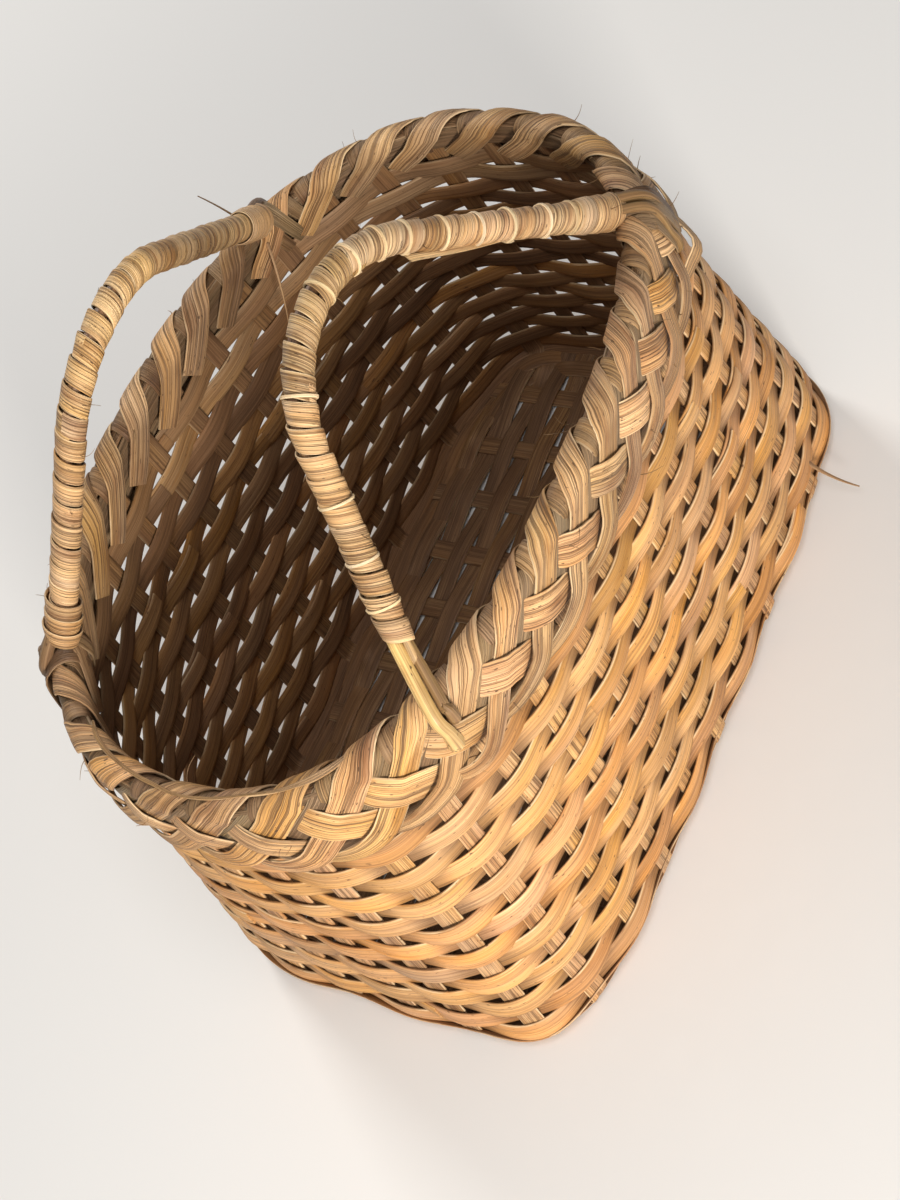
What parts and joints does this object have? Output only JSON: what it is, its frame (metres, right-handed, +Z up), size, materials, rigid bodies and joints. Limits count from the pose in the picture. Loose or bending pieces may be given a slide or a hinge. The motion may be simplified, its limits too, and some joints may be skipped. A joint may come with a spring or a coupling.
{
  "type": "harvest basket",
  "caption": "Deep rectangular splint-woven gathering basket with a plaited rim and wrapped bow handles on its long sides.",
  "frame": {"origin": "centre of the underside, on the plane the basket stands on", "axes": "+Z up through the open mouth, X along the length of the basket, Y across it from the front handle to the back handle"},
  "size_m": [0.439, 0.2932, 0.3856],
  "materials": {
    "weaver_splint": "matt golden tan split cane with fine lengthwise grooves",
    "stake_splint": "matt tan split cane, ribbed lengthwise",
    "rim_splint": "matt pale gold split cane, lightly worn on the folds",
    "rim_hoop": "matt grey-green aged cane",
    "handle_wrapping": "satin golden cane, rubbed smooth by hands",
    "handle_cane": "satin yellow-brown cane"
  },
  "bodies": {
    "root": {"back_handle_core_rod": "handle_cane", "back_handle_left_binding": "handle_wrapping", "back_handle_lower_rod": "handle_cane", "back_handle_right_binding": "handle_wrapping", "back_handle_upper_rod": "handle_cane", "back_handle_wrap": "handle_wrapping", "base_filler_strips": "stake_splint", "cross_stake_01": "stake_splint", "cross_stake_02": "stake_splint", "cross_stake_03": "stake_splint", "cross_stake_04": "stake_splint", "cross_stake_05": "stake_splint", "cross_stake_06": "stake_splint", "cross_stake_07": "stake_splint", "cross_stake_08": "stake_splint", "cross_stake_09": "stake_splint", "cross_stake_10": "stake_splint", "front_handle_core_rod": "handle_cane", "front_handle_lower_rod": "handle_cane", "front_handle_right_binding": "handle_wrapping", "front_handle_upper_rod": "handle_cane", "front_handle_wrap": "handle_wrapping", "inner_rim_hoop": "rim_hoop", "long_stake_01": "stake_splint", "long_stake_02": "stake_splint", "long_stake_03": "stake_splint", "long_stake_04": "stake_splint", "long_stake_05": "stake_splint", "long_stake_06": "stake_splint", "outer_rim_hoop": "rim_hoop", "rim_plait_crossing_splints": "rim_splint", "rim_plait_lip_splints": "rim_splint", "rim_plait_slanting_splints": "rim_splint", "weaver_course_01": "weaver_splint", "weaver_course_02": "weaver_splint", "weaver_course_03": "weaver_splint", "weaver_course_04": "weaver_splint", "weaver_course_05": "weaver_splint", "weaver_course_06": "weaver_splint", "weaver_course_07": "weaver_splint", "weaver_course_08": "weaver_splint", "weaver_course_09": "weaver_splint", "weaver_course_10": "weaver_splint", "weaver_course_11": "weaver_splint", "weaver_course_12": "weaver_splint", "weaver_course_13": "weaver_splint", "weaver_course_14": "weaver_splint", "weaver_course_15": "weaver_splint", "weaver_course_16": "weaver_splint", "weaver_course_17": "weaver_splint"}
  },
  "joints": []
}
